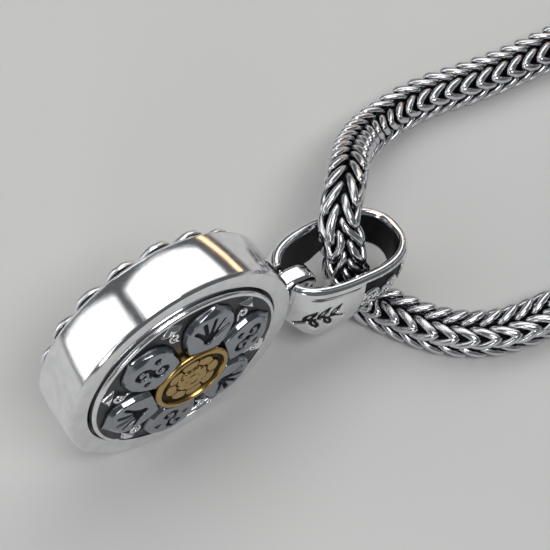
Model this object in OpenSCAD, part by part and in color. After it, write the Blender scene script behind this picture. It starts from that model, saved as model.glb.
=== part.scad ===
// Prayer wheel pendant: a silver ring casing with a turning lotus wheel inside,
// hung from a leaf-shaped bail on a foxtail chain. Millimetres, +Z up.
// The wheel stands on its rim with its axle along Y and its lotus face towards -Y.
// The origin is on the surface below the middle of the pendant and bail.

/* [Casing] */
// Outer diameter of the ring casing
rim_d = 25; // [24.6:0.1:25.4]
// Width of the ring casing along the axle
rim_w = 5.6; // [5.4:0.1:5.8]
// Wall thickness of the outer band
band_t = 0.9; // [0.7:0.1:1.1]
// Thickness of the two bezel rings
bezel_t = 0.35; // [0.3:0.05:0.4]
// Thickness of the web that carries the bush
web_t = 0.7; // [0.6:0.1:0.8]

/* [Turning wheel] */
// Diameter of the lotus disc
disc_d = 20.5; // [20.1:0.1:20.7]
// Diameter of the scalloped disc on the back
scallop_d = 23.8; // [23.4:0.1:24]
// Diameter of the axle
axle_d = 1.8; // [1.7:0.1:1.9]
// Running clearance of the axle in its bush, on the radius
axle_gap = 0.05; // [0.03:0.01:0.08]
// Diameter of the gilt boss on each face
boss_d = 8.36; // [8:0.02:8.6]
// Number of main petals
petals = 6; // [5:1:6]
// Number of scallops round the back
scallops = 18; // [16:1:20]

/* [Eye and bail] */
// Angle of the eye below the wheel's centre line
eye_drop = 14; // [13:0.5:15]
// Distance of the bail's neck, in the eye, from the wheel's centre
eye_reach = 14.6; // [14.5:0.05:14.8]
// Length by which the eye is longer than it is round
eye_slack = 0.7; // [0.5:0.1:0.9]
// Radius of the eye's hole
eye_hole_r = 1.15; // [1.1:0.05:1.2]
// Width of the eye along the axle
eye_w = 2.2; // [2:0.1:2.3]
// Slope of the bail below horizontal
bail_slope = 15; // [14:0.5:16]
// Length of the bail's loop, wall centre to wall centre
bail_len = 14.5; // [14.3:0.1:14.6]
// Width of the bail's loop, wall centre to wall centre
bail_span = 7.8; // [7.6:0.1:8]
// Wall thickness of the bail
bail_wall = 1; // [0.9:0.05:1.1]

/* [Chain] */
// Diameter of the foxtail chain
chain_d = 4; // [3.9:0.02:4]
// Radius at which the put-away chain starts its coil
coil_r = 23; // [22.5:0.5:24]
// Turns of each strand in the coil
coil_turns = 1.4; // [1.3:0.05:1.5]

/* [Hidden] */

rim_r = rim_d / 2;
half_w = rim_w / 2;
wheel_x = -7.9;
disc_r = disc_d / 2;
axle_r = axle_d / 2;
boss_r = boss_d / 2;
bush_r = 1.6;
bush_half = 1;
bezel_in_r = 10.5;
edge_bevel = 0.3;
collar_r = 2.4;
washer_z = bush_half + 0.05;
washer_t = 0.2;
inner_face = 1.7;
border_r = 9.8;
back_border_r = 9.2;
ground_edge = half_w + 0.25;
ground_top = half_w + 0.8;
petal_rise = 0.6;
scroll_r = 7.5;
chain_r = chain_d / 2;
chain_sides = 8;
neck_r = 0.8;
neck_w = 5;
silver = [0.82, 0.82, 0.84];
dark_silver = [0.35, 0.35, 0.37];
gold = [0.85, 0.65, 0.25];
paper = [0.87, 0.8, 0.62];

pivot = [wheel_x + eye_reach * cos(eye_drop), 0, rim_r - eye_reach * sin(eye_drop)];

// The strands start at the same place inside the bail and run out to the coil.
upper_route = [
    [13.3, 0.0, 8.0], [13.6, 0.8, 9.6], [13.9, 1.8, 11.0], [14.7, 2.8, 11.9],
    [15.9, 3.9, 12.3], [17.2, 5.2, 12.0], [18.8, 6.8, 10.9], [20.7, 8.8, 8.9],
    [23.1, 10.9, 6.4], [26.0, 12.8, 4.2], [29.3, 14.0, 2.6], [32.9, 14.5, 2.0],
    [36.5, 14.1, 2.0], [40.2, 13.2, 2.0], [44.0, 12.4, 2.0], [47.9, 11.8, 2.0],
    [52.1, 11.3, 2.0], [56.5, 10.8, 2.0], [61.0, 10.0, 2.0], [65.3, 8.7, 2.0]];
lower_route = [
    [13.3, 0.0, 8.0], [13.1, -0.5, 7.0], [13.2, -1.1, 5.4], [13.6, -1.8, 3.8],
    [14.2, -2.7, 2.6], [14.9, -3.9, 2.0], [15.6, -5.3, 2.0], [16.6, -7.2, 2.0],
    [18.1, -9.6, 2.0], [20.3, -11.9, 2.0], [23.1, -13.7, 2.0], [26.1, -14.7, 2.0],
    [29.5, -15.4, 2.0], [33.5, -17.6, 2.4], [37.3, -21.4, 3.6], [41.1, -25.8, 5.1],
    [45.5, -30.2, 6.1], [50.5, -33.6, 6.1], [55.9, -35.6, 6.1], [61.3, -36.4, 6.1]];

coil_centre = [67.3, -14.2];
coil_pitch = chain_d + 0.1;
coil_end_r = coil_r - coil_pitch * coil_turns;
tail_r = 6;
clasp_start = 95;
ring_start = 255;
clasp_tail_turn = 105;
ring_tail_turn = 180;
ring_tail_level = 80;
cap_len = 3.2;
link_r = 1.45;
link_wire = 0.3;

function unit(v) = v / norm(v);

// ---- shared shapes ----

// Local +Z is the axle's direction towards the lotus face, local +Y is up.
module at_wheel() {
    translate([wheel_x, 0, rim_r]) rotate([90, 0, 0]) children();
}

module facing_back() {
    mirror([0, 0, 1]) children();
}

module ring(inner, outer, low, high) {
    translate([0, 0, low]) difference() {
        cylinder(r = outer, h = high - low, $fn = 128);
        translate([0, 0, -1]) cylinder(r = inner, h = high - low + 2, $fn = 96);
    }
}

// Height of the disc's ground above the wheel's mid-plane at a radius.
function ground(r) = ground_edge + (ground_top - ground_edge) * (1 - pow(r / border_r, 2));

// A layer of even thickness that follows the domed ground between two radii.
module domed_layer(inner, outer, rise) {
    steps = 12;
    radii = [for (i = [0:steps]) inner + (outer - inner) * i / steps];
    rotate_extrude($fn = 128) polygon(concat(
        [for (r = radii) [r, ground(r)]],
        [for (i = [steps:-1:0]) [radii[i], ground(radii[i]) + rise]]));
}

module petal_outline() {
    // A broad round-shouldered petal with a small point at its end, along +X.
    shape = [
        [4.1, 2.05], [4.8, 2.42], [5.8, 2.78], [7.0, 2.9], [7.8, 2.65], [8.5, 2.0],
        [9.05, 1.1], [9.4, 0.5], [border_r - 0.15, 0.1]];
    last = len(shape) - 1;
    polygon(concat(shape, [for (i = [last:-1:0]) [shape[i][0], -shape[i][1]]]));
}

// ---- casing ----

module rim_band() {
    color(silver) at_wheel()
        ring(rim_r - band_t, rim_r, -(half_w - bezel_t), half_w - bezel_t);
}

module bezel() {
    rotate_extrude($fn = 128) polygon([
        [bezel_in_r, half_w - bezel_t], [rim_r, half_w - bezel_t],
        [rim_r, half_w - edge_bevel], [rim_r - edge_bevel, half_w],
        [bezel_in_r, half_w]]);
}

module front_bezel() {
    color(silver) at_wheel() bezel();
}

module back_bezel() {
    color(silver) at_wheel() facing_back() bezel();
}

module web_plate() {
    color(dark_silver) at_wheel() ring(bush_r, rim_r - band_t, -web_t / 2, web_t / 2);
}

module bush() {
    color(gold) at_wheel() ring(axle_r + axle_gap, bush_r, -bush_half, bush_half);
}

// Local +X runs on from the wheel through the eye, and local Z is the neck's axis.
module at_eye() {
    at_wheel() rotate([0, 0, -eye_drop]) translate([eye_reach, 0, 0]) children();
}

module long_slot(r, h) {
    cylinder(r = r, h = h, center = true, $fn = 64);
    translate([eye_slack, 0, 0]) cylinder(r = r, h = h, center = true, $fn = 64);
    translate([0, -r, -h / 2]) cube([eye_slack, 2 * r, h]);
}

module eye_loop() {
    ring_t = 1.15;
    color(silver) difference() {
        union() {
            at_eye() long_slot(eye_hole_r + ring_t, eye_w);
            at_wheel() rotate([0, 0, -eye_drop])
                translate([rim_r - 1, -1.3, -eye_w / 2])
                    cube([eye_reach - rim_r, 2.6, eye_w]);
        }
        at_eye() long_slot(eye_hole_r, eye_w + 2);
        at_wheel() cylinder(r = rim_r, h = rim_w, center = true, $fn = 128);
    }
}

// ---- turning wheel ----

module axle() {
    color(silver) at_wheel()
        cylinder(r = axle_r, h = 2 * (half_w + 0.6), center = true, $fn = 48);
}

module washer() {
    ring(axle_r, 2, washer_z, washer_z + washer_t);
}

module front_washer() {
    color(gold) at_wheel() washer();
}

module back_washer() {
    color(gold) at_wheel() facing_back() washer();
}

module collar() {
    ring(axle_r, collar_r, washer_z + washer_t, inner_face);
}

module front_collar() {
    color(silver) at_wheel() collar();
}

module back_collar() {
    color(silver) at_wheel() facing_back() collar();
}

module scroll() {
    ring(collar_r, scroll_r, web_t / 2 + 0.25, inner_face);
}

module front_scroll() {
    color(paper) at_wheel() scroll();
}

module back_scroll() {
    color(paper) at_wheel() facing_back() scroll();
}

module lotus_disc() {
    steps = 12;
    seat_r = boss_r - 0.1;
    color(dark_silver) at_wheel() rotate_extrude($fn = 128) polygon(concat(
        [[axle_r, inner_face], [disc_r - 0.25, inner_face], [disc_r, inner_face + 0.25],
         [disc_r, half_w]],
        [for (i = [steps:-1:0]) let (r = seat_r + (border_r - seat_r) * i / steps)
            [r, ground(r)]],
        [[axle_r, ground(axle_r)]]));
}

module front_border() {
    edge = ground(border_r);
    color(silver) at_wheel() rotate_extrude($fn = 128) polygon([
        [border_r, edge], [disc_r, half_w], [disc_r, half_w + 0.28],
        [disc_r - 0.12, half_w + 0.42], [border_r + 0.08, edge + 0.22]]);
}

module lotus_petals() {
    color(silver) at_wheel() intersection() {
        domed_layer(boss_r + 0.1, border_r - 0.1, petal_rise);
        for (k = [0:petals - 1]) rotate([0, 0, 6.6 + k * 360 / petals])
            linear_extrude(height = 2 * rim_w) petal_outline();
    }
}

module lotus_curls() {
    // Between the petals, a pointed tip with a small curl in front of it.
    color(silver) at_wheel() intersection() {
        domed_layer(border_r - 2.7, border_r - 0.03, 0.75 * petal_rise);
        for (k = [0:petals - 1]) rotate([0, 0, 6.6 + (k + 0.5) * 360 / petals])
            linear_extrude(height = 2 * rim_w) {
                translate([border_r - 1.8, 0]) difference() {
                    circle(r = 0.78, $fn = 32);
                    circle(r = 0.3, $fn = 24);
                }
                polygon([[8.85, 1.05], [8.85, -1.05], [border_r - 0.05, 0]]);
            }
    }
}

module boss(top) {
    // A shallow gilt button with a rounded rim, seated on the ground of its disc.
    seat = ground(boss_r - 0.1);
    rotate_extrude($fn = 96) polygon([
        [0, half_w + 0.6], [axle_r, half_w + 0.6], [axle_r, ground(axle_r)],
        [boss_r - 0.1, seat], [boss_r - 0.1, top - 0.3], [boss_r - 0.3, top],
        [boss_r - 0.7, top], [boss_r - 0.9, top - 0.35], [0, top - 0.35]]);
}

module rosette(low, high) {
    leaves = 8;
    translate([0, 0, low]) linear_extrude(height = high - low) union() {
        circle(r = 0.85, $fn = 32);
        for (k = [0:leaves - 1]) rotate(k * 360 / leaves)
            translate([1.75, 0]) scale([0.75, 0.75]) circle(r = 0.75, $fn = 24);
    }
}

module front_boss() {
    color(gold) at_wheel() boss(half_w + 1.72);
}

module front_emblem() {
    color(gold) at_wheel() rosette(half_w + 1.37, half_w + 1.72);
}

module back_disc() {
    // The back disc laps over the ring casing, so a finger can turn the wheel by it.
    lap = half_w + 0.15;
    color(dark_silver) at_wheel() facing_back() rotate_extrude($fn = 128) polygon([
        [axle_r, inner_face], [disc_r - 0.25, inner_face], [disc_r, inner_face + 0.25],
        [disc_r, lap], [scallop_d / 2 - 0.9, lap], [scallop_d / 2 - 0.9, lap + 0.3],
        [back_border_r, ground(back_border_r)], [boss_r, ground(boss_r)],
        [axle_r, ground(axle_r)]]);
}

module back_scallops() {
    low = half_w + 0.45;
    high = half_w + 1.3;
    lobe_r = 1.92;
    color(silver) at_wheel() facing_back() translate([0, 0, low])
        linear_extrude(height = high - low) difference() {
            union() {
                circle(r = scallop_d / 2 - 1.4, $fn = 96);
                for (k = [0:scallops - 1]) rotate(k * 360 / scallops)
                    translate([scallop_d / 2 - lobe_r, 0]) circle(r = lobe_r, $fn = 32);
            }
            circle(r = back_border_r, $fn = 96);
        }
}

module back_ring() {
    color(silver) at_wheel() facing_back()
        domed_layer(back_border_r - 1.1, back_border_r, 0.55);
}

module wheel_spokes() {
    spokes = 8;
    color(silver) at_wheel() facing_back() intersection() {
        domed_layer(boss_r + 0.1, back_border_r - 1.1, 0.5);
        for (k = [0:spokes - 1]) rotate([0, 0, k * 360 / spokes])
            translate([0, -0.45, 0]) cube([back_border_r, 0.9, 2 * rim_w]);
    }
}

module back_boss() {
    color(gold) at_wheel() facing_back() boss(half_w + 1.72);
}

// ---- bail ----

function smooth(a, b, x) = let (t = min(1, max(0, (x - a) / (b - a)))) t * t * (3 - 2 * t);
function roundness(v, n) = sign(v) * pow(abs(v), 2 / n);

// The loop runs from angle 0 beside the wheel to 180 at its far end, in its own plane.
// It starts behind the neck, is blunt there, and is widest beyond its middle.
shoulder_angle = 16;
behind_neck = 1.1;
function loop_point(a) = let (n = abs(a - 180) > 90 ? 3.2 : 2.2) [
    bail_len / 2 * (1 - roundness(cos(a), n)) - behind_neck,
    bail_span / 2 * roundness(sin(a), n) * (1 - 0.12 * cos(a))];
function loop_out(a) = let (d = loop_point(a + 0.5) - loop_point(a - 0.5))
    unit([-d[1], d[0]]);

// How far the band reaches above and below the loop's plane, and how much its outside bulges.
function band_top(a) = 2.7 + 0.3 * sin(a);
function band_drop(a) = 2.4 + 2.1 * smooth(20, 70, a) - 2.2 * smooth(78, 102, a)
    - 0.7 * smooth(110, 180, a);
function band_bulge(a) = 0.1 + 0.4 * smooth(20, 60, a) - 0.2 * smooth(120, 180, a);

module bail_band() {
    stations = 56;
    outside = [1, 0.9, 0.5, 0, -0.5, -0.9, -1];
    inside = [-1, 0, 1];
    sides = len(outside) + len(inside);
    points = [for (i = [0:stations]) let (
            a = shoulder_angle + (360 - 2 * shoulder_angle) * i / stations,
            p = loop_point(a), out = loop_out(a), fold = min(a, 360 - a),
            mid = (band_top(fold) - band_drop(fold)) / 2,
            half = (band_top(fold) + band_drop(fold)) / 2)
        for (q = concat(
            [for (k = outside) [k, bail_wall * (abs(k) == 1 ? 0.3 : 0.5)
                + band_bulge(fold) * (1 - k * k)]],
            [for (k = inside) [k, -bail_wall / 2]]))
            [p[0] + out[0] * q[1], p[1] + out[1] * q[1], mid + q[0] * half]];
    walls = [for (i = [0:stations - 1], j = [0:sides - 1], half = [0, 1]) let (
            j2 = (j + 1) % sides, a = i * sides + j, b = i * sides + j2)
        half == 0 ? [a, b, b + sides] : [a, b + sides, a + sides]];
    first = [for (j = [1:sides - 2]) [0, j + 1, j]];
    last = [for (j = [1:sides - 2]) let (k = stations * sides) [k, k + j, k + j + 1]];
    polyhedron(points = points, faces = concat(walls, first, last), convexity = 6);
}

module bail() {
    color(silver) translate(pivot) rotate([0, bail_slope, 0]) bail_band();
}

// The round neck that closes the band between its shoulders and carries the eye.
module bail_neck() {
    color(silver) translate(pivot) rotate([90, 0, 0])
        cylinder(r = neck_r, h = neck_w, center = true, $fn = 48);
}

// ---- chain ----

// A tube along a list of points, its rings square to the route.
module sweep(route, r, sides) {
    n = len(route);
    function along(i) = unit(route[min(n - 1, i + 1)] - route[max(0, i - 1)]);
    points = [for (i = [0:n - 1]) let (
            t = along(i), u = unit(cross(t, [0.1, 0.2, 1])), v = cross(t, u))
        for (k = [0:sides - 1]) let (a = (k + 0.5) * 360 / sides)
            route[i] + r * (u * cos(a) + v * sin(a))];
    walls = [for (i = [0:n - 2], k = [0:sides - 1]) let (k2 = (k + 1) % sides)
        [i * sides + k, (i + 1) * sides + k, (i + 1) * sides + k2, i * sides + k2]];
    start = [[for (k = [0:sides - 1]) k]];
    end = [[for (k = [sides - 1:-1:0]) (n - 1) * sides + k]];
    polyhedron(points = points, faces = concat(walls, start, end), convexity = 8);
}

module chain_upper() {
    color(dark_silver) sweep(upper_route, chain_r, chain_sides);
}

module chain_lower() {
    color(dark_silver) sweep(lower_route, chain_r, chain_sides);
}

module coil(level) {
    inner = coil_end_r - chain_r;
    color(dark_silver) translate([coil_centre[0], coil_centre[1], 0])
        ring(inner, coil_r + chain_r, level, level + chain_d);
}

module coil_lower() {
    coil(0);
}

module coil_upper() {
    coil(chain_d);
}

// Where each strand leaves its coil, the way it turns, and its height.
clasp_angle = clasp_start - 360 * coil_turns;
ring_angle = ring_start + 360 * coil_turns;
function polar(r, a) = [r * cos(a), r * sin(a)];
function tail_point(angle, sense, turn, z) = let (
        p = coil_centre + polar(coil_end_r - tail_r, angle) + polar(tail_r, angle + sense * turn))
    [p[0], p[1], z];
// The upper coil's tail stays level until it is clear of the lower coil, then comes down.
function ring_tail_z(turn) =
    chain_r + chain_d * (1 - smooth(ring_tail_level, ring_tail_turn, turn));

module clasp_tail() {
    color(dark_silver)
        sweep([for (i = [0:6]) tail_point(clasp_angle, -1, clasp_tail_turn * i / 6, chain_r)],
            chain_r, chain_sides);
}

module ring_tail() {
    color(dark_silver)
        sweep([for (i = [0:9]) let (turn = ring_tail_turn * i / 9)
            tail_point(ring_angle, 1, turn, ring_tail_z(turn))], chain_r, chain_sides);
}

// Local +X runs on from the end of a tail.
module at_clasp_end() {
    translate(tail_point(clasp_angle, -1, clasp_tail_turn, chain_r))
        rotate([0, 0, clasp_angle - clasp_tail_turn - 90]) children();
}

module at_ring_end() {
    translate(tail_point(ring_angle, 1, ring_tail_turn, chain_r))
        rotate([0, 0, ring_angle + ring_tail_turn + 90]) children();
}

eyelet_x = cap_len + 0.75;
link_x = eyelet_x + link_r;
clasp_x = link_x + link_r;

module end_cap() {
    rotate([0, 90, 0]) rotate_extrude($fn = 48) polygon([
        [0, 0], [chain_r, 0], [chain_r, cap_len - 0.8], [chain_r - 0.6, cap_len - 0.1],
        [0, cap_len - 0.1]]);
    difference() {
        translate([eyelet_x, 0, 0]) cylinder(r = 1.25, h = 0.8, center = true, $fn = 32);
        translate([eyelet_x, 0, 0]) cylinder(r = 0.65, h = 2, center = true, $fn = 32);
    }
}

module clasp_end_cap() {
    color(silver) at_clasp_end() end_cap();
}

module ring_end_cap() {
    color(silver) at_ring_end() end_cap();
}

module jump_ring() {
    translate([link_x, 0, 0]) rotate([90, 0, 0]) rotate_extrude($fn = 48)
        translate([link_r, 0]) circle(r = link_wire, $fn = 24);
}

module clasp_jump_ring() {
    color(silver) at_clasp_end() jump_ring();
}

module ring_jump_ring() {
    color(silver) at_ring_end() jump_ring();
}

module end_ring() {
    ring_r = 2.2;
    color(silver) at_ring_end() translate([link_x + ring_r + 0.4, 0, -0.5])
        rotate_extrude($fn = 48) translate([ring_r, 0]) circle(r = 0.45, $fn = 24);
}

// ---- lobster clasp ----

clasp_t = 3;
slot_half = 0.95;
lever_pin = [3.2, 1.75];
pin_r = 0.4;

module clasp_outline() {
    difference() {
        hull() {
            circle(r = 1.5, $fn = 32);
            translate([3.6, 0]) circle(r = 2.5, $fn = 32);
            translate([7.6, 0]) circle(r = 2.6, $fn = 32);
        }
        hull() {
            translate([5.4, 0]) circle(r = 1.3, $fn = 32);
            translate([7.7, 0.1]) circle(r = 1.3, $fn = 32);
        }
        circle(r = 0.75, $fn = 32);
    }
}

module clasp_body() {
    color(silver) at_clasp_end() translate([clasp_x, 0, 0]) difference() {
        translate([0, 0, -clasp_t / 2]) linear_extrude(height = clasp_t) union() {
            difference() {
                clasp_outline();
                translate([4.6, 0.6]) square([4, 3]);
            }
            translate(lever_pin) circle(r = 1.1, $fn = 32);
        }
        for (side = [0, 1]) mirror([0, 0, side])
            translate([-2, -3, 0.6]) cube([2.8, 6, clasp_t]);
        translate([1.5, 0.6, -slot_half]) cube([7.1, 3, 2 * slot_half]);
        translate([lever_pin[0], lever_pin[1], 0])
            cylinder(r = pin_r, h = clasp_t + 2, center = true, $fn = 32);
    }
}

module clasp_pin() {
    color(silver) at_clasp_end() translate([clasp_x + lever_pin[0], lever_pin[1], 0])
        cylinder(r = pin_r, h = clasp_t, center = true, $fn = 32);
}

module clasp_spring() {
    color(dark_silver) at_clasp_end()
        translate([clasp_x + lever_pin[0], lever_pin[1], 0]) ring(0.5, 0.85, 0.5, 0.9);
}

module clasp_lever() {
    reach = 4.5;
    color(silver) at_clasp_end() translate([clasp_x + lever_pin[0], lever_pin[1], -0.8])
        difference() {
            linear_extrude(height = 1.15) union() {
                circle(r = 0.9, $fn = 32);
                translate([0, -0.55]) square([reach, 1]);
                translate([reach, -0.05]) circle(r = 0.5, $fn = 24);
                rotate(115) translate([0, -0.45]) square([2.1, 0.9]);
            }
            translate([0, 0, -1]) cylinder(r = pin_r + 0.05, h = 4, $fn = 32);
        }
}

rim_band();
front_bezel();
back_bezel();
web_plate();
bush();
eye_loop();
axle();
front_washer();
back_washer();
front_collar();
back_collar();
front_scroll();
back_scroll();
lotus_disc();
front_border();
lotus_petals();
lotus_curls();
front_boss();
front_emblem();
back_disc();
back_scallops();
back_ring();
wheel_spokes();
back_boss();
bail();
bail_neck();
chain_upper();
chain_lower();
coil_lower();
coil_upper();
clasp_tail();
ring_tail();
clasp_end_cap();
ring_end_cap();
clasp_jump_ring();
ring_jump_ring();
end_ring();
clasp_body();
clasp_pin();
clasp_spring();
clasp_lever();
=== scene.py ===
"""Prayer wheel pendant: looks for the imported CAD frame. Blender 4.5, metres."""
import math

import bmesh
import bpy
import numpy as np
from mathutils import Matrix


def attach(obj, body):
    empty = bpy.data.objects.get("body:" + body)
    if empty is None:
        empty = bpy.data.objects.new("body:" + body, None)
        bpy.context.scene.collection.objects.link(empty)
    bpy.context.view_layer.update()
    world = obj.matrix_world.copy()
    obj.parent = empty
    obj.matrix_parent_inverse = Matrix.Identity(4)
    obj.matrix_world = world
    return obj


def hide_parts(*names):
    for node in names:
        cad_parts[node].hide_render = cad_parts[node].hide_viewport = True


MM = 0.001
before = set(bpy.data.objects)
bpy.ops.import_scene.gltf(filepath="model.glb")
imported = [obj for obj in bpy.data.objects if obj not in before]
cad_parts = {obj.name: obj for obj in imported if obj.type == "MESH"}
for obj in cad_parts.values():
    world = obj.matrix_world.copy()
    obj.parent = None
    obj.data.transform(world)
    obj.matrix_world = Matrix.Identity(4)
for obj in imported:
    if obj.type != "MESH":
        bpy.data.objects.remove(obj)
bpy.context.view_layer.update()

# ---- driving sizes, in millimetres, the same as the CAD's ----
WHEEL_X = -7.9
RIM_R = 12.5
BAND_T = 0.9
HALF_W = 2.8
BEZEL_IN_R = 10.5
BEZEL_T = 0.35
DISC_R = 10.25
BORDER_R = 9.8
BACK_BORDER_R = 9.2
BOSS_R = 4.18
AXLE_R = 0.9
INNER_FACE = 1.7
BACK_LAP = HALF_W + 0.15
DISH_DEPTH = 0.55
GROUND_EDGE = HALF_W + 0.25
GROUND_TOP = HALF_W + 0.8
FACE_TOP = HALF_W + 1.72
PETAL_TURN = 6.6
PETALS = 6
SCALLOPS = 18
SCALLOP_R = 11.9
EYE_DROP = math.radians(14)
EYE_REACH = 14.6
EYE_SLACK = 0.7
EYE_HOLE_R = 1.15
EYE_T = 1.15
EYE_W = 2.2
BAIL_SLOPE = math.radians(15)
BAIL_LEN = 14.5
BAIL_SPAN = 7.8
BAIL_WALL = 1.0
CHAIN_D = 4.0
PIVOT = np.array([WHEEL_X + EYE_REACH * math.cos(EYE_DROP), 0.0,
                  RIM_R - EYE_REACH * math.sin(EYE_DROP)])


# ---- camera, lights and floor ----
def make_camera():
    camera_data = bpy.data.cameras.new("camera")
    camera_data.lens = 98.2
    camera_data.sensor_width = 36
    camera_data.clip_start = 0.005
    camera = bpy.data.objects.new("camera", camera_data)
    right = (0.8136, -0.5810, 0.0)
    up = (0.5037, 0.7050, 0.4985)
    back = (-0.2896, -0.4060, 0.8669)
    spot = (-0.03753, -0.05916, 0.13944)
    camera.matrix_world = Matrix([[right[i], up[i], back[i], spot[i]] for i in range(3)]
                                 + [[0, 0, 0, 1]])
    bpy.context.scene.collection.objects.link(camera)
    bpy.context.scene.camera = camera


def softbox(name, spot, along, width, height, power, colour=(1, 1, 1), aim=(0, 0, 0.01)):
    """A soft box that faces the object, with its width turned along a direction."""
    light = bpy.data.lights.new(name, "AREA")
    light.shape = "RECTANGLE"
    light.size = width
    light.size_y = height
    light.energy = power
    light.color = colour
    box = bpy.data.objects.new(name, light)
    bpy.context.scene.collection.objects.link(box)
    back = np.array(spot, float) - np.array(aim, float)
    back /= np.linalg.norm(back)
    right = np.array(along, float)
    right -= back * (right @ back)
    right /= np.linalg.norm(right)
    up = np.cross(back, right)
    box.matrix_world = Matrix([[right[i], up[i], back[i], spot[i]] for i in range(3)]
                              + [[0, 0, 0, 1]])


def make_stage():
    bpy.ops.mesh.primitive_plane_add(size=2.0, location=(0, 0, 0))
    floor = bpy.context.object
    floor.name = "floor"
    material = bpy.data.materials.new("floor")
    material.use_nodes = True
    shader = material.node_tree.nodes["Principled BSDF"]
    shader.inputs["Base Color"].default_value = (0.62, 0.62, 0.61, 1)
    shader.inputs["Roughness"].default_value = 0.8
    floor.data.materials.append(material)
    world = bpy.data.worlds.new("world")
    world.use_nodes = True
    background = world.node_tree.nodes["Background"]
    background.inputs["Color"].default_value = (0.9, 0.95, 1.0, 1)
    background.inputs["Strength"].default_value = 0.12
    bpy.context.scene.world = world
    softbox("overhead", (0.135, 0.148, 0.30), (1, 0, -0.45), 0.53, 0.26, 0.64,
            aim=(0, 0.148, 0.01))
    softbox("left", (-0.275, 0.148, 0.196), (0.6, 0, 0.8), 0.405, 0.26, 0.44,
            aim=(0, 0.148, 0.01))
    softbox("key", (0.02, -0.22, 0.42), (1, 0, 0), 0.24, 0.14, 0.80)
    softbox("fill", (-0.26, -0.30, 0.16), (0, 0, 1), 0.22, 0.05, 0.16)
    softbox("warm", (0.33, 0.15, 0.07), (0, 1, 0), 0.22, 0.025, 0.05, (1.0, 0.62, 0.34))
    bpy.context.scene.view_settings.view_transform = "Standard"


# ---- materials ----
class Graph:
    """A short way to write a material's nodes."""

    def __init__(self, name):
        self.material = bpy.data.materials.new(name)
        self.material.use_nodes = True
        self.tree = self.material.node_tree
        self.shader = self.tree.nodes["Principled BSDF"]

    def add(self, kind, **sockets):
        node = self.tree.nodes.new(kind)
        for key, value in sockets.items():
            self.feed(node.inputs[key.replace("_", " ")], value)
        return node

    def feed(self, socket, value):
        if isinstance(value, bpy.types.NodeSocket):
            self.tree.links.new(value, socket)
        else:
            socket.default_value = value

    def mix(self, factor, low, high):
        node = self.tree.nodes.new("ShaderNodeMix")
        node.data_type = "RGBA"
        self.feed(node.inputs["Factor"], factor)
        self.feed(node.inputs["A"], low)
        self.feed(node.inputs["B"], high)
        return node.outputs["Result"]

    def ramp(self, value, low, high, to_low=0.0, to_high=1.0):
        node = self.add("ShaderNodeMapRange", Value=value)
        node.inputs["From Min"].default_value = low
        node.inputs["From Max"].default_value = high
        node.inputs["To Min"].default_value = to_low
        node.inputs["To Max"].default_value = to_high
        return node.outputs["Result"]

    def noise(self, scale, detail=3.0, stretch=(1, 1, 1), turn=(0, 0, 0)):
        place = self.add("ShaderNodeTexCoord")
        shape = self.add("ShaderNodeMapping", Vector=place.outputs["Object"],
                         Scale=stretch, Rotation=turn)
        node = self.add("ShaderNodeTexNoise", Vector=shape.outputs["Vector"],
                        Scale=scale, Detail=detail)
        return node.outputs["Fac"]

    def bump(self, height, strength, distance, under=None):
        node = self.add("ShaderNodeBump", Height=height, Strength=strength,
                        Distance=distance)
        if under is not None:
            self.feed(node.inputs["Normal"], under)
        return node.outputs["Normal"]


def worn_and_shaded_metal(name, bright, dark, rough, dark_rough=0.5, scratch=0.12, use_tone=True):
    """Polished on its high places and darkened in its low ones by the mesh's tone: patina in
    hollows, plus painted shade where a mesh's tone carries it.
    """
    g = Graph(name)
    cloud = g.noise(900.0, 4.0)
    grain = g.noise(14000.0, 3.0)
    if use_tone:
        tone = g.tree.nodes.new("ShaderNodeAttribute")
        tone.attribute_name = "tone"
        jitter = g.add("ShaderNodeMath")
        jitter.operation = "MULTIPLY_ADD"
        g.feed(jitter.inputs[0], grain)
        jitter.inputs[1].default_value = 0.25
        g.feed(jitter.inputs[2], tone.outputs["Fac"])
        shine = g.ramp(jitter.outputs[0], 0.42, 0.78)
    else:
        shine = g.ramp(cloud, 0.0, 0.25)
    tint = g.mix(g.ramp(cloud, 0.35, 0.75), bright, [c * 0.86 for c in bright[:3]] + [1])
    g.feed(g.shader.inputs["Base Color"], g.mix(shine, dark, tint))
    smooth = g.ramp(cloud, 0.3, 0.7, rough, rough + 0.09)
    rough_mix = g.tree.nodes.new("ShaderNodeMix")
    g.feed(rough_mix.inputs["Factor"], shine)
    rough_mix.inputs["A"].default_value = dark_rough
    g.feed(rough_mix.inputs["B"], smooth)
    g.feed(g.shader.inputs["Roughness"], rough_mix.outputs["Result"])
    g.shader.inputs["Metallic"].default_value = 1.0
    lines = g.noise(1.0, 2.0, (500, 26000, 900), (0.2, 0.5, 0.9))
    cross = g.noise(1.0, 2.0, (24000, 700, 600), (0.7, 0.1, 0.3))
    normal = g.bump(lines, scratch, 0.00002)
    normal = g.bump(cross, scratch * 0.7, 0.00002, normal)
    normal = g.bump(grain, scratch, 0.00002, normal)
    g.feed(g.shader.inputs["Normal"], normal)
    return g.material


def paper_metal(name):
    """Tightly rolled paper, with the edges of its turns showing as fine rings."""
    g = Graph(name)
    turns = g.noise(5000.0, 2.0)
    g.feed(g.shader.inputs["Base Color"],
           g.mix(turns, (0.62, 0.50, 0.30, 1), (0.88, 0.80, 0.60, 1)))
    g.shader.inputs["Roughness"].default_value = 0.85
    g.feed(g.shader.inputs["Normal"], g.bump(turns, 0.3, 0.0001))
    return g.material


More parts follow.
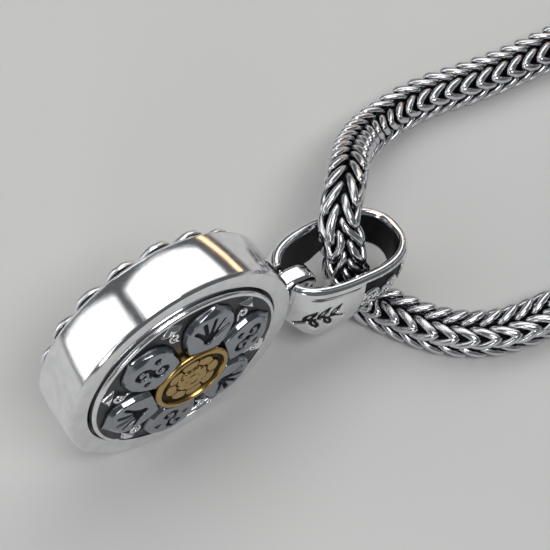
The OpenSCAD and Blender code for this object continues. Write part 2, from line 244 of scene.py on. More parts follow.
SILVER = (0.90, 0.90, 0.91, 1)
BLACKENED = (0.035, 0.035, 0.040, 1)
polished = worn_and_shaded_metal("polished_silver", SILVER, BLACKENED, 0.07)
mirror = worn_and_shaded_metal("mirror_silver", SILVER, BLACKENED, 0.03, scratch=0.10, use_tone=False)
satin = worn_and_shaded_metal("satin_silver", (0.72, 0.72, 0.73, 1), BLACKENED, 0.28, use_tone=False)
soft_polish = worn_and_shaded_metal("soft_polish_silver", SILVER, BLACKENED, 0.24)
# The petals get a darker, bluish silver than the rest of the piece: a painted dark reflection
# standing in for the dark surroundings their polished tops mirror.
petal_painted_dark_metal = worn_and_shaded_metal("petal_painted_dark_silver", (0.34, 0.36, 0.39, 1), (0.03, 0.032, 0.04, 1), 0.13)
oxidised = worn_and_shaded_metal("oxidised_silver", (0.10, 0.10, 0.11, 1), BLACKENED, 0.42,
                      scratch=0.5, use_tone=False)
chain_metal = worn_and_shaded_metal("chain_silver", (0.74, 0.74, 0.76, 1), (0.02, 0.02, 0.024, 1), 0.17,
                         scratch=0.2)
gilt = worn_and_shaded_metal("gilt", (0.52, 0.35, 0.13, 1), (0.07, 0.045, 0.02, 1), 0.16)
bronze = worn_and_shaded_metal("bronze", (0.66, 0.46, 0.24, 1), (0.1, 0.07, 0.04, 1), 0.3,
                    use_tone=False)
paper = paper_metal("scroll_paper")


# ---- mesh helpers ----
def smooth(low, high, x):
    t = np.clip((x - low) / (high - low), 0, 1)
    return t * t * (3 - 2 * t)


def piece(name, body, material, points, faces, tone=None, replaces=()):
    """One object from points in millimetres, riding on a body."""
    mesh = bpy.data.meshes.new(name)
    mesh.from_pydata((np.asarray(points, float) * MM).tolist(), [], faces)
    bm = bmesh.new()
    bm.from_mesh(mesh)
    bmesh.ops.recalc_face_normals(bm, faces=bm.faces)
    bm.to_mesh(mesh)
    bm.free()
    mesh.polygons.foreach_set("use_smooth", [True] * len(mesh.polygons))
    if tone is None:
        tone = np.ones(len(points))
    layer = mesh.attributes.new("tone", "FLOAT", "POINT")
    layer.data.foreach_set("value", np.asarray(tone, np.float32).ravel())
    mesh.materials.append(material)
    obj = bpy.data.objects.new(name, mesh)
    bpy.context.scene.collection.objects.link(obj)
    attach(obj, body)
    if replaces:
        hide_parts(*replaces)
    return obj


def grid_faces(rows, cols, wrap_rows=False, wrap_cols=False, start=0):
    faces = []
    for i in range(rows if wrap_rows else rows - 1):
        for j in range(cols if wrap_cols else cols - 1):
            i2 = (i + 1) % rows
            j2 = (j + 1) % cols
            faces.append((start + i * cols + j, start + i * cols + j2,
                          start + i2 * cols + j2, start + i2 * cols + j))
    return faces


def tube_faces(rows, sides):
    """Faces of a tube of so many rings, closed at both ends."""
    faces = grid_faces(rows, sides, False, True)
    faces.append(tuple(range(sides)))
    faces.append(tuple(range((rows - 1) * sides, rows * sides)))
    return faces


def slab(top, bottom, start=0):
    """Points and faces of a closed body between two grids of the same shape."""
    rows, cols = top.shape[:2]
    points = np.concatenate([top.reshape(-1, 3), bottom.reshape(-1, 3)])
    under = start + rows * cols
    faces = grid_faces(rows, cols, start=start) + grid_faces(rows, cols, start=under)
    edge = ([(0, j) for j in range(cols - 1)] + [(i, cols - 1) for i in range(rows - 1)]
            + [(rows - 1, j) for j in range(cols - 1, 0, -1)]
            + [(i, 0) for i in range(rows - 1, 0, -1)])
    ring = [i * cols + j for i, j in edge]
    for a, b in zip(ring, ring[1:] + ring[:1]):
        faces.append((start + a, start + b, under + b, under + a))
    return points, faces


class Collect:
    """Gathers several closed bodies into one piece."""

    def __init__(self):
        self.points, self.faces, self.tones, self.count = [], [], [], 0

    def add(self, points, faces, tone):
        self.faces += [tuple(v + self.count for v in f) for f in faces]
        self.points.append(points)
        self.tones.append(np.broadcast_to(tone, (len(points),)))
        self.count += len(points)

    def make(self, name, body, material, replaces=()):
        return piece(name, body, material, np.concatenate(self.points), self.faces,
                     np.concatenate(self.tones), replaces)


def at_wheel(p, back=False):
    """From the wheel's face coordinates, with z standing out of the face, to the frame."""
    p = np.asarray(p, float)
    side = 1 if back else -1
    return np.stack([WHEEL_X + p[..., 0], side * p[..., 2], RIM_R + p[..., 1]], -1)


def lathe(profile, segments=256, back=False):
    """A closed ring or button turned from a closed profile of radius and height."""
    profile = np.asarray(profile, float)
    angle = np.linspace(0, 2 * np.pi, segments, endpoint=False)
    rings = np.stack([np.outer(np.cos(angle), profile[:, 0]),
                      np.outer(np.sin(angle), profile[:, 0]),
                      np.tile(profile[:, 1], (segments, 1))], -1)
    points = at_wheel(rings, back).reshape(-1, 3)
    return points, grid_faces(segments, len(profile), True, True)


def rounded(profile, radius=0.08, steps=3):
    """The closed profile with each corner cut round."""
    profile = np.asarray(profile, float)
    out = []
    for i, corner in enumerate(profile):
        before, after = profile[i - 1], profile[(i + 1) % len(profile)]
        reach_in = min(radius, np.linalg.norm(before - corner) * 0.45)
        reach_out = min(radius, np.linalg.norm(after - corner) * 0.45)
        a = corner + (before - corner) / np.linalg.norm(before - corner) * reach_in
        b = corner + (after - corner) / np.linalg.norm(after - corner) * reach_out
        for k in range(steps + 1):
            t = k / steps
            out.append((1 - t) ** 2 * a + 2 * t * (1 - t) * corner + t * t * b)
    return np.array(out)


def distance(x, y, lines):
    """Distance from each point to the nearest of some lines of points."""
    best = np.full(x.shape, 1e9)
    for line in lines:
        line = np.asarray(line, float)
        for a, b in zip(line[:-1], line[1:]):
            d = b - a
            t = np.clip(((x - a[0]) * d[0] + (y - a[1]) * d[1]) / max(d @ d, 1e-12), 0, 1)
            best = np.minimum(best, np.hypot(x - a[0] - t * d[0], y - a[1] - t * d[1]))
    return best


def ground(r):
    return GROUND_EDGE + (GROUND_TOP - GROUND_EDGE) * (1 - (r / BORDER_R) ** 2)


# ---- casing ----
def casing():
    edge = HALF_W - BEZEL_T
    inner = RIM_R - BAND_T
    rim = rounded([(inner, -edge), (RIM_R, -edge), (RIM_R, edge), (inner, edge)], 0.03, 2)
    points, faces = lathe(rim, 320)
    piece("rim_shell", "casing", mirror, points, faces,
          replaces=["rim_band"])
    bezel = rounded([(BEZEL_IN_R, edge), (RIM_R, edge), (RIM_R, HALF_W - 0.28),
                     (RIM_R - 0.26, HALF_W), (BEZEL_IN_R + 0.12, HALF_W),
                     (BEZEL_IN_R, HALF_W - 0.12)], 0.05, 3)
    for back, node in ((False, "front_bezel"), (True, "back_bezel")):
        points, faces = lathe(bezel, 320, back)
        piece(node + "_ring", "casing", mirror, points, faces,
              replaces=[node])


def eye():
    """A strap bent into a long ring, on a short foot that is soldered to the rim."""
    radius = EYE_HOLE_R + EYE_T / 2
    line = []
    for k in range(49):
        a = -math.pi / 2 + math.pi * k / 48
        line.append((EYE_SLACK + radius * math.cos(a), radius * math.sin(a),
                     math.cos(a), math.sin(a)))
    for k in range(49):
        a = math.pi / 2 + math.pi * k / 48
        line.append((radius * math.cos(a), radius * math.sin(a), math.cos(a), math.sin(a)))
    section = []
    for k in range(28):
        a = 2 * math.pi * k / 28
        section.append((np.sign(math.cos(a)) * abs(math.cos(a)) ** 0.7 * EYE_T / 2,
                        np.sign(math.sin(a)) * abs(math.sin(a)) ** 0.6 * EYE_W / 2))
    rows = []
    for x, y, nx, ny in line:
        rows.append([(x + nx * o, y + ny * o, z) for o, z in section])
    turned = turn_to_eye(np.array(rows))
    body = Collect()
    body.add(at_wheel(turned).reshape(-1, 3),
             grid_faces(len(line), len(section), True, True), 1.0)
    foot = rounded_box((RIM_R + 0.25 - EYE_REACH - 0.2, -1.25, -EYE_W / 2 + 0.05),
                       (-1.15, 1.25, EYE_W / 2 - 0.05))
    body.add(at_wheel(turn_to_eye(foot[0])), foot[1], 1.0)
    body.make("eye_strap", "casing", polished, ["eye_loop"])


def turn_to_eye(p):
    c, s = math.cos(EYE_DROP), math.sin(EYE_DROP)
    x = p[..., 0] + EYE_REACH
    return np.stack([x * c + p[..., 1] * s, -x * s + p[..., 1] * c, p[..., 2]], -1)


def rounded_box(low, high, power=0.35, steps=16):
    """A box with round edges."""
    low, high = np.array(low, float), np.array(high, float)
    points = []
    for i in range(1, steps):
        v = -math.pi / 2 + math.pi * i / steps
        for j in range(2 * steps):
            u = 2 * math.pi * j / (2 * steps)
            raw = np.array([math.cos(v) * math.cos(u), math.cos(v) * math.sin(u),
                            math.sin(v)])
            unit = np.sign(raw) * np.abs(raw) ** power
            points.append((low + high) / 2 + unit * (high - low) / 2)
    cols = 2 * steps
    return np.array(points), tube_faces(steps - 1, cols)


# ---- lotus face ----
def spiral(cx, cy, r0, r1, a0, a1, steps=26):
    """Points of a spiral whose radius and angle, in degrees, run evenly between two values."""
    points = []
    for k in range(steps + 1):
        r = r0 + (r1 - r0) * k / steps
        a = math.radians(a0 + (a1 - a0) * k / steps)
        points.append((cx + r * math.cos(a), cy + r * math.sin(a)))
    return points


def petal_lines(kind):
    """Engraved ornament of a petal, along and across it: twin scrolls or a palmette."""
    if kind == 0:
        return [spiral(7.35, 0.62, 0.25, 0.95, 560, 200, 30)
                + spiral(5.75, -0.62, 0.95, 0.25, 20, 380, 30),
                spiral(7.2, -1.45, 0.14, 0.14, 0, 360, 8),
                spiral(5.9, 1.35, 0.14, 0.14, 0, 360, 8)]
    lines = [[(5.2, 0), (8.2, 0)]]
    for side in (1, -1):
        for reach, spread in ((2.5, 0.85), (1.6, 1.55)):
            lines.append([(5.35 + reach * t, side * (0.3 + spread * t ** 1.7))
                          for t in np.linspace(0, 1, 10)])
    return lines


def petal_half_width(x):
    knots = [4.0, 4.8, 5.8, 7.0, 7.9, 8.5, 8.9, 9.15, 9.35, 9.65]
    widths = [2.05, 2.42, 2.78, 2.90, 2.62, 2.10, 1.45, 0.85, 0.45, 0.08]
    return np.interp(x, knots, widths)


def petals():
    body = Collect()
    along = np.linspace(0, 1, 84)
    across = np.linspace(-1, 1, 79)
    u, v = np.meshgrid(along, across, indexing="ij")
    x = 4.15 + (9.65 - 4.15) * u
    soft = np.array([1, 2, 3, 2, 1]) / 9.0
    width = np.convolve(np.pad(petal_half_width(x[:, 0]), 2, mode="edge"), soft, "valid")
    y = v * width[:, None]
    r = np.hypot(x, y)
    edge = (1 - np.abs(v)) * width[:, None]
    for k in range(PETALS):
        groove = distance(x, y, petal_lines(k % 2))
        shoulder = smooth(0.0, 0.42, edge)
        tip = smooth(8.5, 9.6, x + 0.10 * y * y)
        rise = 0.12 + 0.62 * shoulder * (1 - 0.72 * tip)
        rise += 0.10 * smooth(0.2, 1.6, edge) * (1 - tip)
        inner = smooth(0.13, 0.28, groove)
        rise -= 0.30 * (1 - inner) * shoulder
        z = ground(r) + rise
        tone = np.clip(0.25 + shoulder, 0, 1) * (0.05 + 0.95 * smooth(0.18, 0.28, groove))
        turn = math.radians(PETAL_TURN + 360 / PETALS * k)
        spin = lambda h: at_wheel(np.stack([x * math.cos(turn) - y * math.sin(turn),
                                            x * math.sin(turn) + y * math.cos(turn), h], -1))
        points, faces = slab(spin(z), spin(ground(r) - 0.12))
        body.add(points, faces, np.concatenate([tone.ravel(), np.zeros(z.size)]))
    body.make("petal_relief", "wheel", petal_painted_dark_metal, ["lotus_petals"])


def ridge(line, radius, base, squash=0.8, sides=10):
    """A round ridge with tapered ends along a line on the face; base gives its height."""
    line = np.asarray(line, float)
    heading = np.gradient(line, axis=0)
    heading /= np.linalg.norm(heading, axis=1)[:, None]
    side = np.stack([-heading[:, 1], heading[:, 0]], -1)
    t = np.linspace(0, 1, len(line))
    r = radius * np.clip(np.sin(np.pi * np.clip(t, 0.04, 0.96)) ** 0.35, 0.3, 1)
    angle = np.linspace(0, 2 * np.pi, sides, endpoint=False)
    rows = []
    for p, s, w in zip(line, side, r):
        level = base(np.hypot(*p))
        rows.append([(p[0] + s[0] * w * math.cos(a), p[1] + s[1] * w * math.cos(a),
                      level + w * squash * math.sin(a)) for a in angle])
    return np.array(rows), tube_faces(len(rows), sides)


def turned(points, degrees):
    a = math.radians(degrees)
    x, y = points[..., 0], points[..., 1]
    return np.stack([x * math.cos(a) - y * math.sin(a), x * math.sin(a) + y * math.cos(a),
                     points[..., 2]], -1)


def curls():
    """Between the petals: a pointed leaf tip with a small curl in front of it."""
    body = Collect()
    for k in range(PETALS):
        turn = PETAL_TURN + 360 / PETALS * (k + 0.5)
        for line, radius, lift in (
                (spiral(8.0, 0.0, 0.62, 0.16, 200, -260, 40), 0.17, 0.28),
                ([(7.45 - 0.14 * s * s, 0.3 - 0.32 * s) for s in np.linspace(0, 2, 14)],
                 0.15, 0.2)):
            rows, faces = ridge(line, radius, lambda r: ground(r) + lift)
            body.add(at_wheel(turned(rows, turn)).reshape(-1, 3), faces, 1.0)
        u, v = np.meshgrid(np.linspace(0, 1, 34), np.linspace(-1, 1, 35), indexing="ij")
        x = 8.75 + 1.0 * u
        half = 1.15 * (1 - u) ** 1.2 + 0.03
        y = v * half
        edge = np.minimum((1 - np.abs(v)) * half, 0.1 + u)
        z = ground(np.hypot(x, y)) + 0.08 + 0.5 * smooth(0, 0.4, edge) * (1 - 0.5 * u)
        points, faces = slab(at_wheel(turned(np.stack([x, y, z], -1), turn)),
                             at_wheel(turned(np.stack([x, y, z * 0 + 2.9], -1), turn)))
        body.add(points, faces, 1.0)
    body.make("curl_relief", "wheel", polished, ["lotus_curls"])


def disc_ground():
    radii = np.linspace(AXLE_R, BORDER_R, 26)
    profile = [(AXLE_R, INNER_FACE), (DISC_R - 0.25, INNER_FACE), (DISC_R, INNER_FACE + 0.25),
               (DISC_R, HALF_W)]
    profile += [(r, ground(r)) for r in radii[::-1]]
    points, faces = lathe(profile, 256)
    piece("lotus_ground", "wheel", oxidised, points, faces,
          replaces=["lotus_disc"])
    edge = ground(BORDER_R)
    ring = rounded([(BORDER_R, edge - 0.1), (DISC_R, HALF_W - 0.1), (DISC_R, HALF_W + 0.28),
                    (DISC_R - 0.12, HALF_W + 0.42), (BORDER_R + 0.08, edge + 0.22)], 0.07, 3)
    points, faces = lathe(ring, 256)
    piece("face_border", "wheel", polished, points, faces,
          replaces=["front_border"])


def button(back, nodes, name):
    """A gilt button with a round rim, and a rosette standing in its dish."""
    dish = FACE_TOP - DISH_DEPTH
    seat = ground(BOSS_R) - 0.1
    profile = rounded([(0.9, seat), (BOSS_R - 0.08, seat), (BOSS_R - 0.08, FACE_TOP - 0.25),
                       (BOSS_R - 0.3, FACE_TOP), (BOSS_R - 0.62, FACE_TOP),
                       (BOSS_R - 0.8, dish), (0.9, dish)], 0.14, 4)
    points, faces = lathe(profile, 192, back)
    local = np.hypot(points[:, 0] - WHEEL_X, points[:, 2] - RIM_R)
    height = np.abs(points[:, 1])
    tone = np.where((height < FACE_TOP - 0.25) & (local < BOSS_R - 0.5), 0.0, 1.0)
    tone *= smooth(seat + 0.05, seat + 0.5, height)
    piece(name + "_button", "wheel", gilt, points, faces, tone, [nodes[0]])
    rings, spokes = 54, 240
    r, a = np.meshgrid(np.linspace(0.0, BOSS_R - 0.84, rings),
                       np.linspace(0, 2 * np.pi, spokes, endpoint=False), indexing="ij")
    outer = 2.72 + 0.42 * np.abs(np.cos(4 * a)) ** 0.7
    inner = 1.42 + 0.26 * np.abs(np.sin(4 * a)) ** 0.7
    rise = 0.34 * smooth(0, 0.3, outer - r)
    split = np.abs(np.sin(4 * a + np.pi / 2)) * r
    rise -= (0.22 * (1 - smooth(0.10, 0.5, split)) * smooth(1.5, 1.9, r)
             * smooth(0, 0.3, outer - r))
    rise -= 0.16 * (1 - smooth(0.03, 0.16, np.abs(r - inner - 0.14)))
    rise += 0.12 * smooth(0, 0.2, inner - r)
    rise -= 0.16 * (1 - smooth(0.03, 0.12, np.abs(r - 0.72)))
    rise += 0.10 * smooth(0, 0.5, 0.66 - r)
    rise = np.clip(rise, 0.0, 0.52)
    top = at_wheel(np.stack([r * np.cos(a), r * np.sin(a), dish + 0.02 + rise], -1), back)
    under = at_wheel(np.stack([r * np.cos(a), r * np.sin(a), rise * 0 + dish - 0.1], -1), back)
    points = np.concatenate([top[1:].reshape(-1, 3), top[0, :1], under[1:].reshape(-1, 3),
                             under[0, :1]])
    ring_count = (rings - 1) * spokes
    faces = grid_faces(rings - 1, spokes, False, True)
    faces += grid_faces(rings - 1, spokes, False, True, ring_count + 1)
    for j in range(spokes):
        j2 = (j + 1) % spokes
        faces.append((ring_count, j, j2))
        faces.append((2 * ring_count + 1, ring_count + 1 + j, ring_count + 1 + j2))
        last = (rings - 2) * spokes
        faces.append((last + j, last + j2, ring_count + 1 + last + j2,
                      ring_count + 1 + last + j))
    tone = smooth(0.20, 0.36, rise)
    tone = np.concatenate([tone[1:].ravel(), tone[0, :1], np.zeros(ring_count + 1)])
    piece(name + "_rosette", "wheel", gilt, points, faces, tone, nodes[1:])


# ---- back face ----
def back_face():
    radii = np.linspace(AXLE_R, BACK_BORDER_R, 20)
    profile = [(AXLE_R, INNER_FACE), (DISC_R - 0.25, INNER_FACE), (DISC_R, INNER_FACE + 0.25),
               (DISC_R, BACK_LAP), (SCALLOP_R - 0.9, BACK_LAP),
               (SCALLOP_R - 0.9, BACK_LAP + 0.3)]
    profile += [(r, ground(r)) for r in radii[::-1]]
    points, faces = lathe(profile, 256, True)
    piece("back_plate", "wheel", oxidised, points, faces,
          replaces=["back_disc"])
    body = Collect()
    lobe = math.pi * (SCALLOP_R - 1.1) / SCALLOPS
    u, v = np.meshgrid(np.linspace(0, 1, 26), np.linspace(-1, 1, 31), indexing="ij")
    for k in range(SCALLOPS):
        x = BACK_BORDER_R + 0.05 + (SCALLOP_R - BACK_BORDER_R - 0.05) * u
        past = ((x - (SCALLOP_R - lobe)) / lobe).clip(0, 1)
        round_end = np.sqrt(np.clip(1 - past ** 2, 0, 1))
        half = np.minimum(x * math.tan(math.pi / SCALLOPS) * 0.97, lobe * round_end + 0.02)
        y = v * half
        edge = np.minimum((1 - np.abs(v)) * half, SCALLOP_R - x + 0.05)
        bead = np.hypot(x - (SCALLOP_R - lobe * 0.9), y)
        rise = 0.44 * smooth(-0.1, 0.14, edge) + 0.30 * smooth(0.75, 0.35, bead)
        rise -= 0.2 * (1 - smooth(0.03, 0.16, np.abs(bead - 0.9))) * smooth(0.1, 0.4, edge)
        z = BACK_LAP + 0.36 + rise
        tone = 0.2 + 0.8 * np.maximum(smooth(0.26, 0.4, rise), smooth(0.3, 0.1, edge))
        flat = np.stack([x, y, z * 0 + BACK_LAP + 0.3], -1)
        turn = 360 / SCALLOPS * k
        points, faces = slab(at_wheel(turned(np.stack([x, y, z], -1), turn), True),
                             at_wheel(turned(flat, turn), True))
        body.add(points, faces, np.concatenate([tone.ravel(), np.ones(z.size)]))
    body.make("scallop_relief", "wheel", soft_polish, ["back_scallops"])
    hoop_in, hoop_out = BACK_BORDER_R - 1.1, BACK_BORDER_R
    ring = rounded([(hoop_in, ground(hoop_in) - 0.1), (hoop_out, ground(hoop_out) - 0.1),
                    (hoop_out, ground(hoop_out) + 0.5), (hoop_in, ground(hoop_in) + 0.5)],
                   0.2, 4)
    points, faces = lathe(ring, 192, True)
    piece("back_hoop", "wheel", polished, points, faces,
          replaces=["back_ring"])
    body = Collect()
    for k in range(8):
        length = np.linspace(BOSS_R + 0.1, BACK_BORDER_R - 1.1, 40)
        u, v = np.meshgrid(np.linspace(0, 1, 40), np.linspace(-1, 1, 17), indexing="ij")
        x = length[:, None] + 0 * v
        half = 0.34 + 0.28 * np.exp(-((x - 6.5) / 0.7) ** 2)
        y = v * half
        r = np.hypot(x, y)
        z = ground(r) + 0.1 + 0.5 * np.sqrt(np.clip(1 - v ** 2, 0, 1))
        flat = np.stack([x, y, ground(r) - 0.1], -1)
        points, faces = slab(at_wheel(turned(np.stack([x, y, z], -1), 45 * k), True),
                             at_wheel(turned(flat, 45 * k), True))
        tone = np.clip((z - ground(r)) * 2.4, 0, 1)
        body.add(points, faces, np.concatenate([tone.ravel(), np.zeros(z.size)]))
    body.make("spoke_relief", "wheel", polished, ["wheel_spokes"])


# ---- bail ----
def loop_point(a):
    a = np.asarray(a, float)
    n = np.where(np.abs(a - 180) > 90, 3.2, 2.2)
    c, s = np.cos(np.radians(a)), np.sin(np.radians(a))
    return np.stack([BAIL_LEN / 2 * (1 - np.sign(c) * np.abs(c) ** (2 / n)) - 1.1,
                     BAIL_SPAN / 2 * np.sign(s) * np.abs(s) ** (2 / n) * (1 - 0.12 * c)], -1)


def band_top(a):
    return 2.7 + 0.3 * np.sin(np.radians(a))


def band_drop(a):
    return 2.4 + 2.1 * smooth(20, 70, a) - 2.2 * smooth(78, 102, a) - 0.7 * smooth(110, 180, a)


def bail_ornament():
    """Lines on the outside of an arm: distance from the shoulder, and height."""
    spray = [[(1.0, -2.1), (2.0, -1.3), (3.3, -0.8), (4.6, -0.8), (5.6, -1.2)]]
    for x, y, lean in ((1.8, -1.4, 1), (3.0, -0.9, 1), (4.2, -0.8, 1),
                       (2.4, -1.1, -1), (3.7, -0.8, -1)):
        for bow in (0.2, -0.36):
            spray.append([(x + 0.8 * t + bow * math.sin(math.pi * t), y + lean * 1.45 * t)
                          for t in np.linspace(0, 1, 8)])
    vine = [spiral(9.0, 0.0, 1.0, 0.25, 180, -200, 24),
            spiral(11.3, 0.6, 0.85, 0.2, 200, 560, 24),
            [(8.0, -0.8), (8.9, -1.2), (10.1, -0.7), (10.8, -0.1)],
            [(10.2, -0.9), (11.2, -0.95), (12.1, -0.5)]]
    return spray, vine


def bail():
    stations, rows = 560, 61
    fine = np.linspace(16, 344, 6561)
    along = np.linalg.norm(np.diff(loop_point(fine), axis=0), axis=1)
    along = np.concatenate([[0], np.cumsum(along)])
    angle = np.interp(np.linspace(0, along[-1], stations), along, fine)
    line = loop_point(angle)
    ahead, behind = loop_point(angle + 0.5), loop_point(angle - 0.5)
    out = np.stack([-(ahead - behind)[:, 1], (ahead - behind)[:, 0]], -1)
    out /= np.linalg.norm(out, axis=1)[:, None]
    fold = np.minimum(angle, 360 - angle)
    steps = np.linalg.norm(np.diff(line, axis=0), axis=1)
    reach = np.concatenate([[0], np.cumsum(steps)])
    reach = np.minimum(reach, reach[-1] - reach)
    top, drop = band_top(fold), band_drop(fold)
    k = np.sin(np.linspace(-math.pi / 2, math.pi / 2, rows))
    height = ((top - drop) / 2)[:, None] + k[None, :] * ((top + drop) / 2)[:, None]
    bulge = 0.1 + 0.4 * smooth(20, 60, fold) - 0.2 * smooth(120, 180, fold)
    edge = np.minimum(top[:, None] - height, height + drop[:, None])
    outer = BAIL_WALL * (0.3 + 0.2 * smooth(0, 0.35, edge)) + bulge[:, None] * (1 - k ** 2)
    spray, vine = bail_ornament()
    s = reach[:, None] + 0 * height
    leaf = distance(s, height, spray)
    scroll = distance(s, height, vine)
    crease = np.abs(height - (top[:, None] - 0.95))
    crease_on = smooth(1.0, 2.5, s) * smooth(7.6, 6.8, s)
    panel = (smooth(7.6, 7.9, s) * smooth(13.2, 12.8, s)
             * smooth(0.5, 0.8, top[:, None] - height)
             * smooth(0.35, 0.6, height + drop[:, None]))
    raised = smooth(0.34, 0.2, scroll)
    outer = outer - 0.28 * smooth(0.26, 0.10, leaf) * smooth(0.2, 0.5, edge)
    outer -= 0.14 * smooth(0.2, 0.05, crease) * crease_on
    outer -= 0.34 * panel * (1 - raised)
    dark_bars = (smooth(13.5, 13.6, s) * smooth(16.9, 16.8, s) * smooth(0.3, 0.6, edge)
                 * smooth(0.16, 0.05, np.abs((s % 0.85) - 0.42)))
    outer -= 0.3 * dark_bars
    tone = np.ones_like(outer)
    tone -= smooth(0.22, 0.12, leaf) * smooth(0.2, 0.4, edge)
    tone -= 0.75 * smooth(0.16, 0.05, crease) * crease_on
    tone -= panel * (1 - raised)
    tone -= dark_bars
    side = np.stack([line[:, None, 0] + out[:, None, 0] * outer,
                     line[:, None, 1] + out[:, None, 1] * outer, height], -1)
    inner_rows = 31
    k2 = np.sin(np.linspace(-math.pi / 2, math.pi / 2, inner_rows))
    height2 = ((top - drop) / 2)[:, None] + k2[None, :] * ((top + drop) / 2)[:, None]
    edge2 = np.minimum(top[:, None] - height2, height2 + drop[:, None])
    inner = -BAIL_WALL * (0.3 + 0.2 * smooth(0, 0.35, edge2))
    inside = np.stack([line[:, None, 0] + out[:, None, 0] * inner,
                       line[:, None, 1] + out[:, None, 1] * inner, height2], -1)
    ring = np.concatenate([side, inside[:, ::-1]], 1)
    # The inner wall is darkened away from its edges: painted shade inside the loop.
    shine = np.concatenate([tone, 1 - 0.85 * smooth(0.15, 0.55, edge2[:, ::-1])], 1)
    c, sn = math.cos(BAIL_SLOPE), math.sin(BAIL_SLOPE)
    x, y, z = ring[..., 0], ring[..., 1], ring[..., 2]
    world = np.stack([PIVOT[0] + x * c + z * sn, y, PIVOT[2] - x * sn + z * c], -1)
    count = rows + inner_rows
    piece("bail_band", "necklace", polished, world.reshape(-1, 3),
          tube_faces(stations, count), shine.ravel(), ["bail"])


# ---- chain ----
UPPER_ROUTE = [
    (0.0133, 0.0000, 0.0080), (0.0136, 0.0008, 0.0096), (0.0139, 0.0018, 0.0110),
    (0.0147, 0.0028, 0.0119), (0.0159, 0.0039, 0.0123), (0.0172, 0.0052, 0.0120),
    (0.0188, 0.0068, 0.0109), (0.0207, 0.0088, 0.0089), (0.0231, 0.0109, 0.0064),
    (0.0260, 0.0128, 0.0042), (0.0293, 0.0140, 0.0026), (0.0329, 0.0145, 0.0020),
    (0.0365, 0.0141, 0.0020), (0.0402, 0.0132, 0.0020), (0.0440, 0.0124, 0.0020),
    (0.0479, 0.0118, 0.0020), (0.0521, 0.0113, 0.0020), (0.0565, 0.0108, 0.0020),
    (0.0610, 0.0100, 0.0020), (0.0653, 0.0087, 0.0020)]
LOWER_ROUTE = [
    (0.0133, 0.0000, 0.0080), (0.0131, -0.0005, 0.0070), (0.0132, -0.0011, 0.0054),
    (0.0136, -0.0018, 0.0038), (0.0142, -0.0027, 0.0026), (0.0149, -0.0039, 0.0020),
    (0.0156, -0.0053, 0.0020), (0.0166, -0.0072, 0.0020), (0.0181, -0.0096, 0.0020),
    (0.0203, -0.0119, 0.0020), (0.0231, -0.0137, 0.0020), (0.0261, -0.0147, 0.0020),
    (0.0295, -0.0154, 0.0020), (0.0335, -0.0176, 0.0024), (0.0373, -0.0214, 0.0036),
    (0.0411, -0.0258, 0.0051), (0.0455, -0.0302, 0.0061), (0.0505, -0.0336, 0.0061),
    (0.0559, -0.0356, 0.0061), (0.0613, -0.0364, 0.0061)]
COIL_CENTRE = np.array([67.3, -14.2])
COIL_R = 23.0
COIL_TURNS = 1.4
COIL_PITCH = CHAIN_D + 0.1
COIL_END_R = COIL_R - COIL_PITCH * COIL_TURNS
TAIL_R = 6.0
LINK_PITCH = 1.95
LEG_REACH = 1.75    # how far a link's legs reach along the chain from its middle
BEND_REACH = 1.0    # how far its bend reaches the other way
# Radius of the dark tube that paints the shade inside the chain.
SHADE_CORE_R = 1.15


def polar(r, degrees):
    return np.array([r * math.cos(math.radians(degrees)), r * math.sin(math.radians(degrees))])


def strand_path(route, start, sense, level, tail_turn, tail_drop):
    """The free route, then the coil's turns, then the tail inside the coil."""
    points = [np.array(p) / MM for p in route[:-1]]
    turns = 60
    for k in range(turns + 1):
        p = COIL_CENTRE + polar(COIL_R + (COIL_END_R - COIL_R) * k / turns,
                                start + sense * 360 * COIL_TURNS * k / turns)
        points.append(np.array([p[0], p[1], level]))
    last = start + sense * 360 * COIL_TURNS
    centre = COIL_CENTRE + polar(COIL_END_R - TAIL_R, last)
    for k in range(1, 13):
        turn = tail_turn * k / 12
        p = centre + polar(TAIL_R, last + sense * turn)
        points.append(np.array([p[0], p[1], level - tail_drop * float(smooth(80, 180, turn))]))
    return dense(np.array(points))


def dense(points, step=0.4):
    """A smooth curve through the points, sampled at an even step."""
    padded = np.concatenate([[2 * points[0] - points[1]], points,
                             [2 * points[-1] - points[-2]]])
    curve = []
    for i in range(1, len(padded) - 2):
        p0, p1, p2, p3 = padded[i - 1:i + 3]
        for t in np.linspace(0, 1, 16, endpoint=False):
            curve.append(0.5 * (2 * p1 + (p2 - p0) * t + (2 * p0 - 5 * p1 + 4 * p2 - p3) * t * t
                                + (3 * p1 - p0 - 3 * p2 + p3) * t ** 3))
    curve.append(points[-1])
    curve = np.array(curve)
    far = np.concatenate([[0], np.cumsum(np.linalg.norm(np.diff(curve, axis=0), axis=1))])
    even = np.linspace(0, far[-1], int(far[-1] / step) + 1)
    return np.stack([np.interp(even, far, curve[:, i]) for i in range(3)], -1), far[-1]


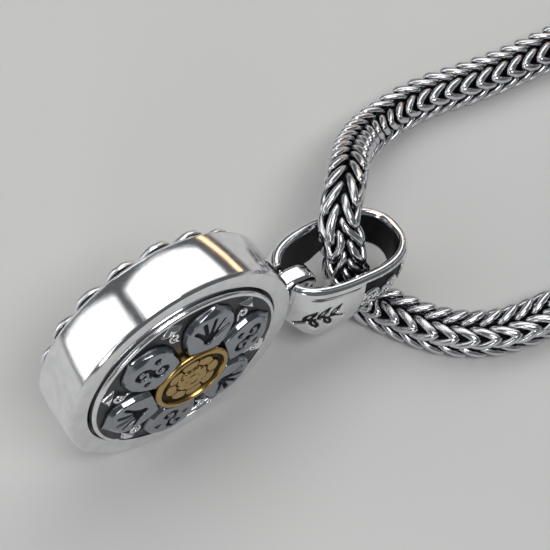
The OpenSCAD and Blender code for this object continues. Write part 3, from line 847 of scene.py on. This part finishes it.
def foxtail(name, path, length, direction, replaces):
    """Hairpin links folded round the chain's four edges, over a dark core tube that paints the
    shade inside the chain.
    """
    tangent = np.gradient(path, axis=0)
    tangent /= np.linalg.norm(tangent, axis=1)[:, None]
    up = np.array([0, 0, 1.0]) - tangent * tangent[:, 2:3]
    up /= np.linalg.norm(up, axis=1)[:, None]
    side = np.cross(up, tangent)
    far = np.linspace(0, length, len(path))
    # Carried a little past its start, so that the strands' links interlock in the bail.
    lead = np.linspace(-3, -0.4, 7)
    far = np.concatenate([lead, far])
    path = np.concatenate([path[0] + tangent[0] * lead[:, None], path])
    up = np.concatenate([np.repeat(up[:1], len(lead), 0), up])
    side = np.concatenate([np.repeat(side[:1], len(lead), 0), side])

    def place(s, a, b):
        at = lambda field: np.stack([np.interp(s, far, field[:, i]) for i in range(3)], -1)
        return at(path) + at(up) * a[..., None] + at(side) * b[..., None]

    hairpin = np.array([(1.75, 1.00, 0.20), (1.30, 1.45, 0.30), (0.60, 1.70, 0.58),
                        (-0.15, 1.74, 0.98), (-0.75, 1.62, 1.38), (-1.00, 1.50, 1.50),
                        (-0.75, 1.38, 1.62), (-0.15, 0.98, 1.74), (0.60, 0.58, 1.70),
                        (1.30, 0.30, 1.45), (1.75, 0.20, 1.00)])
    thick = np.array([0.24, 0.35, 0.41, 0.42, 0.40, 0.38, 0.40, 0.42, 0.41, 0.35, 0.24])
    t = np.linspace(0, len(hairpin) - 1, 19)
    knots = np.arange(len(hairpin))
    wire = np.stack([np.interp(t, knots, hairpin[:, i]) for i in range(3)], -1)
    width = np.interp(t, knots, thick)
    heading = np.gradient(wire, axis=0)
    heading /= np.linalg.norm(heading, axis=1)[:, None]
    outward = wire * [0, 1, 1]
    outward -= heading * (outward * heading).sum(1)[:, None]
    outward /= np.linalg.norm(outward, axis=1)[:, None]
    flank = np.cross(heading, outward)
    sides = 8
    angle = np.linspace(0, 2 * np.pi, sides, endpoint=False)
    shape = (wire[:, None]
             + outward[:, None] * (width[:, None] * np.cos(angle))[..., None] * 0.85
             + flank[:, None] * (width[:, None] * np.sin(angle))[..., None])
    link_faces = tube_faces(len(wire), sides)
    body = Collect()
    for k in range(int(length / LINK_PITCH)):
        for corner, (ca, cb) in enumerate(((1, 1), (1, -1), (-1, -1), (-1, 1))):
            if direction > 0:
                s = LINK_PITCH * (k + 0.5 * (corner % 2))
            else:
                s = LINK_PITCH * (k + 0.5 + 0.5 * (corner % 2))
            if s + (LEG_REACH if direction > 0 else BEND_REACH) > length + 0.3:
                continue
            a, b = 1.04 * shape[..., 1] * ca, 1.04 * shape[..., 2] * cb
            points = place(s + direction * shape[..., 0], a, b)
            tone = smooth(1.32, 1.70, np.hypot(shape[..., 1], shape[..., 2]))
            body.add(points.reshape(-1, 3), link_faces, tone.ravel())
    # A dark tube along the chain's middle: painted shade where the inside of the chain would be
    # seen.
    shade_core_sides = 12
    turn = np.linspace(0, 2 * np.pi, shade_core_sides, endpoint=False)
    s = np.linspace(0, length, int(length / 1.2))
    shade_core = place(s[:, None] + 0 * turn, SHADE_CORE_R * np.cos(turn) + 0 * s[:, None],
                 SHADE_CORE_R * np.sin(turn) + 0 * s[:, None])
    body.add(shade_core.reshape(-1, 3), tube_faces(len(s), shade_core_sides), 0.0)
    return body.make(name, "necklace", chain_metal, replaces)


def chain():
    upper, upper_len = strand_path(UPPER_ROUTE, 95, -1, 2.0, 105, 0.0)
    lower, lower_len = strand_path(LOWER_ROUTE, 255, 1, 6.1, 180, 4.1)
    strand = foxtail("chain_strand_upper", upper, upper_len, 1,
                     ["chain_upper", "coil_lower", "clasp_tail"])
    strand = foxtail("chain_strand_lower", lower, lower_len, -1,
                     ["chain_lower", "coil_upper", "ring_tail"])


# ---- finishes of the CAD nodes that stay ----
def finish_cad_nodes():
    finishes = {
        mirror: ["bail_neck", "clasp_end_cap", "ring_end_cap", "clasp_jump_ring",
                 "ring_jump_ring", "end_ring", "clasp_body", "clasp_pin", "clasp_lever"],
        satin: ["web_plate", "axle", "front_collar", "back_collar", "clasp_spring"],
        bronze: ["bush", "front_washer", "back_washer"],
        paper: ["front_scroll", "back_scroll"]}
    for material, names in finishes.items():
        for name in names:
            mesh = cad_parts[name].data
            mesh.materials.clear()
            mesh.materials.append(material)


make_camera()
make_stage()
chain()
casing()
eye()
disc_ground()
petals()
curls()
button(False, ["front_boss", "front_emblem"], "front")
back_face()
button(True, ["back_boss"], "back")
bail()
finish_cad_nodes()
